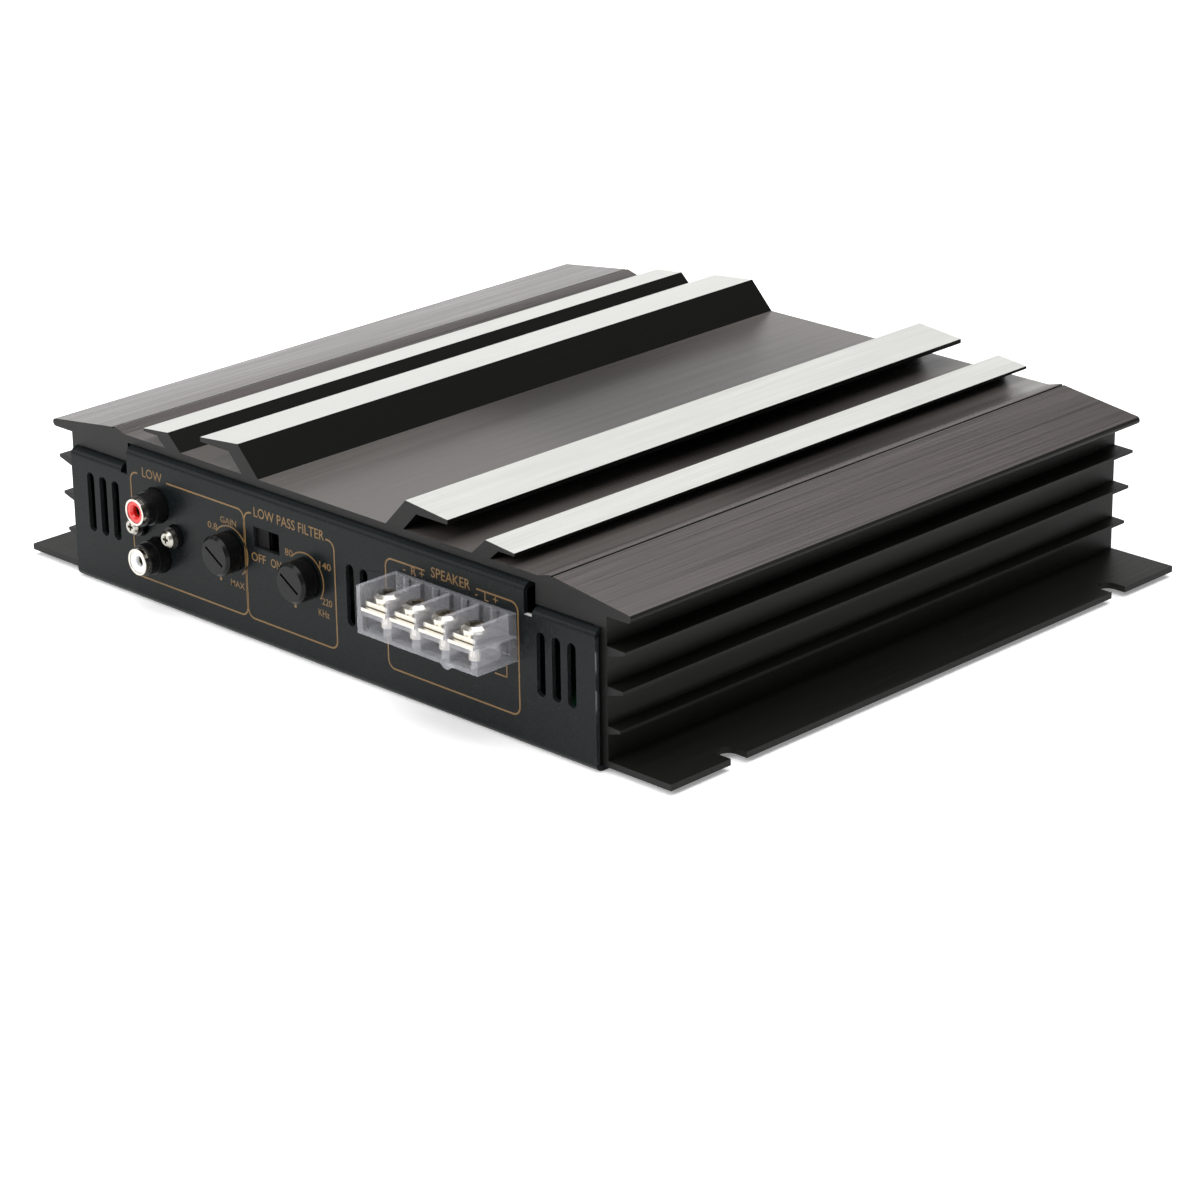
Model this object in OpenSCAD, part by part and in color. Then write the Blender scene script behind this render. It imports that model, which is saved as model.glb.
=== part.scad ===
// Two-channel car amplifier: an extruded heatsink case closed by folded steel end panels.
// X runs across the case, Y from the front panel to the rear panel, and Z up.
// The origin is the middle of the footprint, on the surface that the bottom plate rests on.
// Heights named in the sections below are measured from the underside of the heatsink.

/* [Case] */
// Width across the two mounting flanges
flange_w = 270; // [262:1:278]
// Width across the outer faces of the side walls
case_w = 224; // [222:0.5:226]
// Length of the heatsink extrusion
case_l = 219; // [214:1:230]
// Height of the top plate
plate_z = 48.5; // [48:0.1:49.5]
// Thickness of the top plate
plate_t = 2.4; // [2:0.1:3]
// Thickness of a side wall, where the transistors are clamped
wall_t = 4.5; // [4:0.1:5]
// Thickness of a mounting flange
flange_t = 1.9; // [1.5:0.1:2.5]
// Thickness of the steel sheet
sheet_t = 1.5; // [1:0.1:1.6]
// Width of the inner rails that the board and the bottom plate screw to
rail_w = 7.5; // [7:0.1:9]
// Height of the inner rails
rail_h = 8; // [7.5:0.1:9]

/* [Top fins] */
// Distance of an inner fin's foot from the middle
inner_fin_x = 26.8; // [24:0.1:30]
// Rise of an inner fin above the top plate
inner_fin_rise = 8.8; // [7:0.1:10]
// Sideways lean of an inner fin's web
inner_fin_lean = 8.4; // [6:0.1:10]
// Width of an inner fin's strip
inner_strip_w = 16.7; // [14:0.1:18]
// Thickness of an inner strip's free edge
inner_strip_t = 1.4; // [1:0.1:2]
// Distance of an outer fin's foot from the middle
outer_fin_x = 61.1; // [60:0.1:62]
// Rise of an outer fin above the top plate
outer_fin_rise = 5.05; // [4.5:0.05:6]
// Sideways lean of an outer fin's web
outer_fin_lean = 5.5; // [4.5:0.1:6]
// Width of an outer fin's strip
outer_strip_w = 11.15; // [10:0.05:12]
// Thickness of an outer strip's free edge
outer_strip_t = 0.9; // [0.7:0.1:1.2]
// Width of a fin's web, measured across the case
fin_web_w = 7.1; // [6:0.1:8]
// Downward tilt of the strips, in degrees
strip_tilt = 5.8; // [3:0.1:8]

/* [Shoulders] */
// Distance of a shoulder's inner face from the middle
shoulder_x = 85.5; // [85:0.1:86]
// Height of a shoulder's underside
shoulder_z = 40; // [39.5:0.1:40.5]
// Distance of a shoulder's crest from the middle
crest_x = 91; // [90:0.1:92]
// Height of a shoulder's crest
crest_z = 49.7; // [49.5:0.1:50.5]
// Downward slope of a shoulder's top, in degrees
shoulder_tilt = 7.5; // [7:0.1:8]
// Height of the overhang's underside
overhang_z = 43.5; // [43:0.1:43.8]
// Radius of the rounded nose
nose_r = 1.2; // [1:0.05:1.3]
// Width of the groove beside the crest
groove_w = 0.6; // [0.4:0.05:0.8]
// Depth of the groove beside the crest
groove_depth = 0.6; // [0.4:0.05:0.8]

/* [Side fins] */
// Number of fins on each side wall
side_fins = 3; // [2:1:3]
// Height of the lowest side fin
side_fin_z = 11.9; // [11:0.1:12.5]
// Distance between side fins
side_fin_pitch = 11.5; // [11:0.1:12]
// Reach of the lowest side fin
side_fin_reach = 4.6; // [4:0.1:5]
// Extra reach of each higher side fin
side_fin_step = 1.1; // [0.8:0.1:1.2]

/* [Mounting slots] */
// Width of a slot in a flange
slot_w = 6.4; // [5.5:0.1:7]
// Depth of a slot from the flange edge
slot_depth = 7; // [6.5:0.1:9]
// Distance of a slot from the end of the heatsink
slot_inset = 26.5; // [20:0.5:32]

/* [End panels] */
// Width of an end panel
panel_w = 220; // [218:0.5:221]
// Outer radius of the folds, which is also how far the face stands off the heatsink
bend_r = 2.5; // [2.2:0.1:2.6]
// Depth of the folded edges
fold_depth = 12; // [11:0.5:14]
// Half width of the taller middle stretch
notch_x = 83.5; // [82:0.1:84]
// Distance from the middle to the lower end stretches' folds
end_fold_x = 86.4; // [86:0.1:87]
// Gap between a fold and the heatsink above it
fold_gap = 0.1; // [0.1:0.05:0.2]
// Width of a vent slot
vent_w = 3.3; // [2.5:0.1:3.6]
// Height of a vent slot
vent_h = 18.7; // [15:0.1:19]
// Distance between vent slots
vent_pitch = 5.8; // [5.5:0.1:6]
// Height of the vent slots' middle
vent_z = 24.3; // [23.5:0.1:25]
// Distance of the outermost vent slot from the middle
vent_x = 101.2; // [100:0.1:102]

/* [Phono sockets] */
// Position of the socket pair across the case
rca_x = -70.5; // [-72:0.5:-69]
// Height of the lower socket
rca_z = 15.2; // [15:0.1:16]
// Distance between the two sockets
rca_pitch = 15.55; // [15:0.05:16]
// Outer diameter of a socket's shell
rca_d = 8.2; // [8:0.05:8.4]
// Reach of a shell in front of the panel
rca_reach = 8.5; // [8:0.1:10]
// Distance of each fixing screw from the socket pair's middle
rca_screw_x = 8.05; // [8:0.05:8.5]

/* [Controls] */
// Position of the gain knob across the case
gain_x = -37.7; // [-39:0.1:-36]
// Position of the crossover knob across the case
crossover_x = -5.1; // [-6:0.1:-4]
// Height of both knobs
knob_z = 24.6; // [24:0.1:25]
// Diameter of a knob
knob_d = 12.3; // [11:0.1:13]
// Reach of a knob in front of the panel
knob_reach = 6.3; // [6:0.1:8]
// Angle of a knob's slot below the horizontal, in degrees
slot_turn = 32; // [0:1:90]
// Position of the switch opening across the case
switch_x = -21.5; // [-22:0.1:-21]
// Height of the switch opening
switch_z = 31.8; // [31:0.1:32]
// Width of the switch opening
switch_w = 11; // [10.5:0.1:12]
// Height of the switch opening
switch_h = 6.4; // [6:0.1:6.6]
// Width of the switch's slider
slider_w = 5.2; // [4.5:0.1:5.4]

/* [Terminal blocks] */
// Middle of the speaker terminal block
speaker_x = 56.9; // [56:0.1:58]
// Distance between speaker poles
speaker_pitch = 11.5; // [11.5:0.1:11.8]
// Middle of the power terminal block
power_x = 46; // [44:0.5:50]
// Distance between power poles
power_pitch = 14; // [13:0.1:15]
// Thickness of the walls between poles
divider_t = 1.5; // [1.2:0.1:1.6]
// Reach of a block in front of its panel
block_reach = 15; // [14.5:0.1:16]
// Height of a block's underside
block_z = 22.8; // [22:0.1:23.5]
// Height of a block's lower body
block_body_h = 7; // [6.8:0.1:7.4]
// Height of a block's walls above its lower body
block_wall_h = 7; // [6:0.1:7.5]
// Radius of a terminal screw's thread
screw_r = 2; // [1.8:0.05:2.1]
// Radius of a terminal screw's head
head_r = 3.75; // [3.4:0.05:4]
// Rest gap between a pole's clamp and its contact
clamp_gap = 0.6; // [0.5:0.05:0.8]

/* [Fuses and lamps] */
// Middle of the fuse holder
fuse_x = -12; // [-14:0.5:-10]
// Distance between the fuses
fuse_pitch = 23; // [22:0.5:25]
// Height of the fuses' middle
fuse_z = 24; // [22:0.1:26]
// Position of the power lamp
lamp_x = -56; // [-60:0.5:-52]
// Distance between the lamps
lamp_pitch = 10; // [8:0.5:12]

/* [Board] */
// Width of the circuit board
board_w = 213; // [208:0.5:214]
// Length of the circuit board
board_l = 216; // [214:1:217]
// Thickness of the circuit board
board_t = 1.6; // [1.2:0.1:1.6]
// Number of transistors on each side wall
transistors = 7; // [5:2:7]
// Distance between transistors
transistor_pitch = 24; // [22:0.5:25]

/* [Hidden] */
$fn = 64;
// Pairs of a drilled hole and a screw share this thread radius, and the screw is a little thinner
thread_r = 1.5;
thread_gap = 0.05;
cover = 0.01;
base_z = sheet_t;
front_y = -case_l / 2;
face_y = front_y - bend_r;
inner_face_y = face_y + sheet_t;
wall_x = case_w / 2;
rail_x = wall_x - wall_t - rail_w / 2;
board_z = base_z + rail_h;
board_top = board_z + board_t;
clamp_screw_z = board_top + 9;
fold_top = base_z + plate_z - plate_t - fold_gap;
end_fold_top = base_z + shoulder_z - 2 * fold_gap;
relief_z = end_fold_top - bend_r;
fold_side_gap = 0.3;
slot_x = flange_w / 2 - slot_depth + slot_w / 2;
slot_y = case_l / 2 - slot_inset;
fold_screw_y = case_l / 2 - fold_depth / 2;
plate_screw_ys = [-80, 0, 80];
board_screw_ys = [-96, -36, 36, 96];
clamp_screw_ys = [-60, -12, 12, 60];
screw_head_r = 2.9;
pan_head_r = 2.6;
plate_gap = 0.5;
block_top = base_z + block_z + block_body_h;
contact_t = 1;
clamp_t = 1;
clamp_z = block_top + contact_t + clamp_gap;
terminal_head_h = 2.4;
terminal_screw_y = -block_reach * 0.62;
speaker_poles = 4;
power_poles = 3;
pad_t = 0.3;
device_x = wall_x - wall_t - pad_t;
device_t = 4.5;
bar_t = 2;
shaft_r = 3;
shaft_gap = 0.05;
knob_gap = 0.5;
shaft_bore_depth = 4;
pot_y = front_y + 3;
pot_depth = 9;
slider_gap = 0.2;
slider_set_back = 1.2;
slider_rest_x = switch_x - switch_w / 2 + slider_w / 2 + slider_gap;

// An outline in X and Z, run along the case
module along_y(y0, y1) {
  translate([0, y1, 0]) rotate([90, 0, 0]) linear_extrude(y1 - y0) children();
}
// An outline in Y and Z, run across the case
module along_x(x0, x1) {
  translate([x0, 0, 0]) rotate([90, 0, 90]) linear_extrude(x1 - x0) children();
}
// A round bar along Y
module bar_y(r, y0, y1) {
  along_y(y0, y1) circle(r);
}
// A box given by its low and high corners
module span(low, high) {
  translate(low) cube(high - low);
}
module both_sides() {
  children();
  mirror([1, 0, 0]) children();
}
module both_ends() {
  children();
  mirror([0, 1, 0]) children();
}
// Turns a piece made for the front panel round to the rear panel
module at_rear() {
  rotate([0, 0, 180]) children();
}

// One top fin: a leaning web with a tilted strip reaching outward from its top
function fin_outline(foot, rise, lean, strip, tip) =
  let (
    slope = lean / rise,
    root = 1,
    top = [foot + lean, plate_z + rise],
    edge = top + strip * [cos(strip_tilt), -sin(strip_tilt)],
    under = [edge.x, edge.y - tip],
    crook = [foot + fin_web_w + (under.y - plate_z) * slope, under.y]
  )
  [
    [foot - root * slope, plate_z - root],
    top,
    edge,
    under,
    crook,
    [foot + fin_web_w - root * slope, plate_z - root]
  ];

// One shoulder: a thick sloping bar with a rounded nose that overhangs the wall
module shoulder_outline() {
  nose_steps = 6;
  nose_cz = overhang_z + nose_r;
  nose_cx = crest_x + (crest_z - nose_cz - nose_r / cos(shoulder_tilt)) / tan(shoulder_tilt);
  nose_from = 90 - shoulder_tilt;
  difference() {
    polygon(concat(
      [
        [shoulder_x, plate_z],
        [shoulder_x, shoulder_z],
        [wall_x, shoulder_z],
        [wall_x, overhang_z]
      ],
      [for (step = [0 : nose_steps])
        let (turn = -90 + step * (nose_from + 90) / nose_steps)
        [nose_cx + nose_r * cos(turn), nose_cz + nose_r * sin(turn)]],
      [
        [crest_x, crest_z],
        [shoulder_x + 1, plate_z]
      ]
    ));
    translate([crest_x + groove_w, crest_z - groove_depth]) square([groove_w, 2 * groove_depth]);
  }
}

// One side fin, tapered towards its tip
module side_fin_outline(index) {
  top = side_fin_z + index * side_fin_pitch;
  tip = wall_x + side_fin_reach + index * side_fin_step;
  root_t = 2.4 + 0.35 * index;
  tip_t = 0.9;
  bite = 0.5;
  polygon([
    [wall_x - bite, top + 0.2],
    [tip, top],
    [tip, top - tip_t],
    [wall_x - bite, top - root_t]
  ]);
}

// A stretch of the extrusion's profile, run the whole length of the case
module run() {
  along_y(front_y, -front_y) children();
}
module heatsink_half() {
  bite = 0.5;
  run() translate([-bite, plate_z - plate_t]) square([shoulder_x + 2 * bite, plate_t]);
  run() polygon(fin_outline(inner_fin_x, inner_fin_rise, inner_fin_lean, inner_strip_w, inner_strip_t));
  run() polygon(fin_outline(outer_fin_x, outer_fin_rise, outer_fin_lean, outer_strip_w, outer_strip_t));
  run() shoulder_outline();
  run() translate([wall_x - wall_t, 0]) square([wall_t, shoulder_z + bite]);
  run() translate([wall_x - bite, 0]) square([flange_w / 2 - wall_x + bite, flange_t]);
  run() translate([wall_x - wall_t - rail_w, 0]) square([rail_w + bite, rail_h]);
  for (index = [0 : side_fins - 1]) run() side_fin_outline(index);
}

// An open slot in a flange, with a round inner end
module flange_slot() {
  translate([slot_x, slot_y, -1]) cylinder(h = flange_t + 2, r = slot_w / 2);
  translate([slot_x, slot_y - slot_w / 2, -1]) cube([slot_depth, slot_w, flange_t + 2]);
}

// Blind threaded holes in the rails and in the side walls
module heatsink_holes() {
  plate_hole_h = 4.6;
  board_hole_h = 3.2;
  clamp_hole_depth = 3.4;
  for (y = concat(plate_screw_ys, [-fold_screw_y, fold_screw_y]))
    translate([rail_x, y, -1]) cylinder(h = plate_hole_h + 1, r = thread_r);
  for (y = board_screw_ys)
    translate([rail_x, y, rail_h - board_hole_h]) cylinder(h = board_hole_h + 1, r = thread_r);
  for (y = clamp_screw_ys)
    translate([wall_x - wall_t - 1, y, clamp_screw_z - base_z])
      rotate([0, 90, 0]) cylinder(h = clamp_hole_depth + 1, r = thread_r);
}
module heatsink() {
  color([0.13, 0.12, 0.12])
    translate([0, 0, base_z])
      difference() {
        both_sides() heatsink_half();
        both_sides() {
          both_ends() flange_slot();
          heatsink_holes();
        }
      }
}

// A quarter ring of sheet that folds the face back; the fold's middle is the outline's origin
module fold_outline() {
  difference() {
    intersection() {
      circle(bend_r);
      translate([-bend_r, 0]) square(bend_r);
    }
    circle(bend_r - sheet_t);
  }
}
// The upper stretch of a panel: face, fold and folded edge
module panel_upper(low, top) {
  translate([-bend_r, low]) square([sheet_t, top - bend_r - low]);
  translate([0, top - bend_r]) fold_outline();
  translate([0, top - sheet_t]) square([fold_depth, sheet_t]);
}
module panel_lower() {
  translate([-bend_r, bend_r]) square([sheet_t, relief_z - bend_r]);
  translate([0, bend_r]) mirror([0, 1]) fold_outline();
  square([fold_depth, sheet_t]);
}
// An upright slot through a panel
module vent(x) {
  round_r = vent_w / 2;
  straight = vent_h / 2 - round_r;
  translate([x, 0, base_z + vent_z]) along_y(face_y - 1, inner_face_y + 1) {
    square([vent_w, 2 * straight], center = true);
    for (side = [-1, 1]) translate([0, side * straight]) circle(round_r);
  }
}
// The folded sheet with its end vents and its two fixing holes
module folded_panel() {
  bite = 0.5;
  difference() {
    translate([0, front_y, 0]) {
      along_x(-panel_w / 2, panel_w / 2) panel_lower();
      along_x(-notch_x, notch_x) panel_upper(relief_z - bite, fold_top);
      both_sides() along_x(end_fold_x, panel_w / 2) panel_upper(relief_z - bite, end_fold_top);
    }
    both_sides() {
      for (index = [0 : 2]) vent(vent_x - index * vent_pitch);
      translate([rail_x, -fold_screw_y, 0]) countersunk_hole();
      span([wall_x - wall_t - fold_side_gap, front_y, relief_z],
           [panel_w / 2 + 1, front_y + fold_depth + 1, end_fold_top + 1]);
    }
  }
}
module countersunk_hole() {
  translate([0, 0, -1]) cylinder(h = sheet_t + 2, r = thread_r + thread_gap);
  translate([0, 0, -cover]) cylinder(h = sheet_t + cover, r1 = screw_head_r + cover, r2 = thread_r);
}

module front_panel() {
  collar_hole_r = 5.6;
  boss_hole_r = 3.7;
  bushing_hole_r = 3.7;
  inner_vent_x = 13.8;
  color([0.17, 0.18, 0.2])
    difference() {
      folded_panel();
      for (z = [0, rca_pitch])
        translate([rca_x, 0, base_z + rca_z + z]) bar_y(collar_hole_r, face_y - 1, front_y);
      for (side = [-1, 1])
        translate([rca_x + side * rca_screw_x, 0, rca_mid_z()])
          bar_y(boss_hole_r, face_y - 1, front_y);
      for (x = [gain_x, crossover_x])
        translate([x, 0, base_z + knob_z]) bar_y(bushing_hole_r, face_y - 1, front_y);
      translate([switch_x, 0, base_z + switch_z])
        along_y(face_y - 1, front_y) square([switch_w, switch_h], center = true);
      for (index = [0, 1]) vent(inner_vent_x + index * vent_pitch);
      block_cutout(speaker_x, speaker_poles, speaker_pitch);
    }
}

module rear_panel() {
  fuse_opening = [20.2, 6.4];
  lamp_hole_r = 1.6;
  color([0.17, 0.18, 0.2])
    difference() {
      at_rear() folded_panel();
      at_rear() block_cutout(-power_x, power_poles, power_pitch);
      for (side = [-0.5, 0.5]) {
        translate([fuse_x + side * fuse_pitch, 0, base_z + fuse_z])
          along_y(-front_y, -face_y + 1) square(fuse_opening, center = true);
        translate([lamp_x + side * lamp_pitch, 0, base_z + fuse_z])
          bar_y(lamp_hole_r, -front_y, -face_y + 1);
      }
    }
}

module bottom_plate() {
  half_l = case_l / 2 - fold_depth - plate_gap;
  color([0.12, 0.12, 0.13])
    difference() {
      span([-panel_w / 2, -half_l, 0], [panel_w / 2, half_l, sheet_t]);
      both_sides() for (y = plate_screw_ys) translate([rail_x, y, 0]) countersunk_hole();
    }
}

// A countersunk screw pointing up, its head flush with the underside
module countersunk_screw() {
  shank = 5.6;
  recess_r = 0.55;
  head_h = sheet_t - 0.1;
  difference() {
    union() {
      cylinder(h = shank, r = thread_r - thread_gap);
      cylinder(h = head_h, r1 = screw_head_r - thread_gap, r2 = thread_r - thread_gap);
    }
    cross_recess(recess_r, 1);
  }
}
// A cross-shaped recess in a head, centred on the origin
module cross_recess(half_w, depth) {
  arm = 3 * half_w;
  translate([-arm, -half_w, -depth]) cube([2 * arm, 2 * half_w, 2 * depth]);
  translate([-half_w, -arm, -depth]) cube([2 * half_w, 2 * arm, 2 * depth]);
}
module bottom_screws() {
  color([0.2, 0.2, 0.2])
    both_sides()
      for (y = concat(plate_screw_ys, [-fold_screw_y, fold_screw_y]))
        translate([rail_x, y, 0]) countersunk_screw();
}

// A pan-head screw pointing down, its head sitting on the origin plane
module pan_screw(shank, r, top_r, head_h) {
  difference() {
    union() {
      translate([0, 0, -shank]) cylinder(h = shank + cover, r = r);
      cylinder(h = head_h * 0.6, r = top_r);
      translate([0, 0, head_h * 0.6 - cover]) cylinder(h = head_h * 0.4, r1 = top_r, r2 = top_r * 0.72);
    }
    translate([0, 0, head_h]) cross_recess(top_r * 0.15, head_h * 0.55);
  }
}

module circuit_board() {
  color([0.1, 0.35, 0.18])
    difference() {
      span([-board_w / 2, -board_l / 2, board_z], [board_w / 2, board_l / 2, board_top]);
      both_sides() for (y = board_screw_ys)
        translate([rail_x, y, board_z - 1]) cylinder(h = board_t + 2, r = thread_r + 0.1);
    }
}
module board_screws() {
  shank = 4.6;
  head_h = 2;
  color("silver")
    both_sides() for (y = board_screw_ys)
      translate([rail_x, y, board_top]) pan_screw(shank, thread_r - thread_gap, pan_head_r, head_h);
}

// Phono socket pair: one plastic body with two collars and two screw bosses
function rca_mid_z() = base_z + rca_z + rca_pitch / 2;
rca_ring_reach = 3.7;
rca_barrel_reach = 6.7;
rca_boss_reach = 1.8;
rca_depth = 12;
module rca_housing() {
  body_half_w = 11.4;
  body_rise = 6;
  ring_r = 5.2;
  barrel_r = 4.75;
  boss_r = 3.3;
  screw_wall = 3;
  color([0.06, 0.06, 0.07])
    difference() {
      union() {
        span([rca_x - body_half_w, inner_face_y, board_top],
             [rca_x + body_half_w, inner_face_y + rca_depth, rca_mid_z() + rca_pitch / 2 + body_rise]);
        for (z = [0, rca_pitch])
          translate([rca_x, 0, base_z + rca_z + z]) {
            bar_y(ring_r, face_y - rca_ring_reach, inner_face_y + 1);
            bar_y(barrel_r, face_y - rca_barrel_reach, inner_face_y + 1);
          }
        for (side = [-1, 1])
          translate([rca_x + side * rca_screw_x, 0, rca_mid_z()])
            bar_y(boss_r, face_y - rca_boss_reach, inner_face_y + 1);
      }
      for (z = [0, rca_pitch])
        translate([rca_x, 0, base_z + rca_z + z]) bar_y(rca_sleeve_r, rca_front_y, rca_back_y);
      for (side = [-1, 1])
        translate([rca_x + side * rca_screw_x, 0, rca_mid_z()])
          bar_y(thread_r, face_y - rca_boss_reach - 1, inner_face_y + rca_depth - screw_wall);
    }
}
rca_bore_r = rca_d / 2 - 0.75;
rca_sleeve_r = rca_d / 2 - 0.2;
rca_sleeve_gap = 0.3;
rca_front_y = face_y - rca_reach;
rca_back_y = inner_face_y + rca_depth - 2;
rca_contact_y = rca_front_y + 2.2;
module rca_shells() {
  color([0.8, 0.79, 0.76])
    for (z = [0, rca_pitch])
      translate([rca_x, 0, base_z + rca_z + z])
        difference() {
          union() {
            bar_y(rca_d / 2, rca_front_y, face_y - rca_barrel_reach - rca_sleeve_gap);
            bar_y(rca_sleeve_r, rca_front_y + 1, rca_back_y);
          }
          bar_y(rca_bore_r, rca_front_y - 1, rca_back_y + 1);
        }
}
contact_r = 2.1;
pin_bore_r = 1.65;
insert_set_back = 0.3;
module rca_insert(z) {
  funnel_r = 2.3;
  funnel_depth = 0.7;
  front = rca_front_y + insert_set_back;
  translate([rca_x, 0, base_z + z])
    difference() {
      bar_y(rca_bore_r, front, rca_back_y);
      bar_y(pin_bore_r, front - 1, rca_contact_y + cover);
      bar_y(contact_r, rca_contact_y, rca_back_y + 1);
      translate([0, front - cover, 0])
        rotate([-90, 0, 0]) cylinder(h = funnel_depth, r1 = funnel_r, r2 = pin_bore_r);
    }
}
module rca_insert_white() {
  color("white") rca_insert(rca_z);
}
module rca_insert_red() {
  color("red") rca_insert(rca_z + rca_pitch);
}
module rca_contacts() {
  color([0.85, 0.75, 0.45])
    for (z = [0, rca_pitch])
      translate([rca_x, 0, base_z + rca_z + z])
        difference() {
          bar_y(contact_r, rca_contact_y, rca_back_y);
          bar_y(pin_bore_r, rca_contact_y - 1, rca_back_y - 1);
        }
}
module rca_screws() {
  shank = 9;
  head_h = 2.1;
  color([0.82, 0.82, 0.8])
    for (side = [-1, 1])
      translate([rca_x + side * rca_screw_x, face_y - rca_boss_reach, rca_mid_z()])
        rotate([90, 0, 0]) pan_screw(shank, thread_r - thread_gap, pan_head_r, head_h);
}

// A rotary control: slotted knob, shaft and potentiometer
module knob(x) {
  rim = 0.9;
  slot_half_w = 0.4;
  slot_half_l = 4.2;
  slot_cut = 1.1;
  back = face_y - knob_gap;
  front = face_y - knob_reach;
  translate([x, 0, base_z + knob_z])
    difference() {
      union() {
        bar_y(knob_d / 2, front + rim, back);
        translate([0, front + rim + cover, 0])
          rotate([90, 0, 0]) cylinder(h = rim + cover, r1 = knob_d / 2, r2 = knob_d / 2 - rim);
      }
      bar_y(shaft_r, back - shaft_bore_depth, back + 1);
      translate([0, front, 0]) rotate([0, slot_turn, 0])
        span([-slot_half_l, -1, -slot_half_w], [slot_half_l, slot_cut, slot_half_w]);
    }
}
module shaft(x) {
  tail = 1.5;
  translate([x, 0, base_z + knob_z])
    bar_y(shaft_r, face_y - knob_gap - shaft_bore_depth, pot_y + pot_depth - tail);
}
module pot(x) {
  can_half = 8.5;
  bushing_r = 3.5;
  bushing_reach = 0.2;
  back_wall = 1;
  pin_half = 0.5;
  pin_pitch = 5;
  pin_y = pot_y + 4;
  translate([x, 0, 0])
    difference() {
      union() {
        span([-can_half, pot_y, base_z + knob_z - can_half],
             [can_half, pot_y + pot_depth, base_z + knob_z + can_half]);
        translate([0, 0, base_z + knob_z]) bar_y(bushing_r, face_y - bushing_reach, pot_y + 1);
        for (pin = [-1 : 1])
          span([pin_pitch * pin - pin_half, pin_y, board_top],
               [pin_pitch * pin + pin_half, pin_y + 2 * pin_half, base_z + knob_z - can_half + 1]);
      }
      translate([0, 0, base_z + knob_z])
        bar_y(shaft_r + shaft_gap, face_y - 1, pot_y + pot_depth - back_wall);
    }
}
module gain_knob() {
  color([0.08, 0.08, 0.09]) knob(gain_x);
}
module gain_shaft() {
  color("silver") shaft(gain_x);
}
module gain_pot() {
  color([0.3, 0.3, 0.32]) pot(gain_x);
}
module crossover_knob() {
  color([0.08, 0.08, 0.09]) knob(crossover_x);
}
module crossover_shaft() {
  color("silver") shaft(crossover_x);
}
module crossover_pot() {
  color([0.3, 0.3, 0.32]) pot(crossover_x);
}

// The slide switch: a hollow frame behind the opening and a slider that runs across it
switch_depth = 8;
module switch_body() {
  wall = 1.4;
  side_margin = 0.6;
  height_margin = 0.3;
  leg_y = inner_face_y + 3;
  leg_t = 3;
  half_w = switch_w / 2 + side_margin;
  half_h = switch_h / 2 + height_margin;
  color([0.1, 0.1, 0.11])
    translate([switch_x, 0, base_z + switch_z])
      difference() {
        union() {
          span([-half_w - wall, inner_face_y, -half_h - wall],
               [half_w + wall, inner_face_y + switch_depth, half_h + wall]);
          span([-half_w, leg_y, board_top - base_z - switch_z], [half_w, leg_y + leg_t, -half_h]);
        }
        span([-half_w, inner_face_y - 1, -half_h], [half_w, inner_face_y + switch_depth - wall, half_h]);
      }
}
module switch_slider() {
  grip_half_h = switch_h / 2 - slider_gap;
  foot_half_h = switch_h / 2;
  foot_half_w = slider_w / 2 + 0.3;
  foot_y = inner_face_y + 0.4;
  foot_back_y = inner_face_y + switch_depth - 2;
  color([0.05, 0.05, 0.05])
    translate([slider_rest_x, 0, base_z + switch_z]) {
      span([-slider_w / 2, face_y + slider_set_back, -grip_half_h], [slider_w / 2, foot_y + 1, grip_half_h]);
      span([-foot_half_w, foot_y, -foot_half_h], [foot_half_w, foot_back_y, foot_half_h]);
    }
}

// Terminal blocks, made for the front panel: x from the block's middle, y from the panel's face
function block_w(poles, pitch) = poles * pitch + divider_t;
function pole_x(index, poles, pitch) = (index - (poles - 1) / 2) * pitch;
block_foot_y = 7.5;
contact_leg_y = -2.9;
module block_cutout(x, poles, pitch) {
  margin = 3;
  half_w = block_w(poles, pitch) / 2 - margin;
  translate([x, face_y, 0]) span([-half_w, -1, base_z + block_z + 1], [half_w, sheet_t + 1, block_top - 1]);
}
module contact(pitch) {
  half_w = (pitch - divider_t) / 2 - 0.1;
  leg_half_w = 2;
  leg_y = contact_leg_y;
  leg_z = base_z + block_z + 2.5;
  tail_y = block_foot_y - 2.5;
  span([-half_w, -block_reach, block_top], [half_w, leg_y + contact_t, block_top + contact_t]);
  span([-leg_half_w, leg_y, leg_z], [leg_half_w, leg_y + contact_t, block_top + cover]);
  span([-leg_half_w, leg_y, leg_z], [leg_half_w, tail_y, leg_z + contact_t]);
  span([-leg_half_w, tail_y - contact_t, board_top], [leg_half_w, tail_y, leg_z + contact_t]);
}
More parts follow.
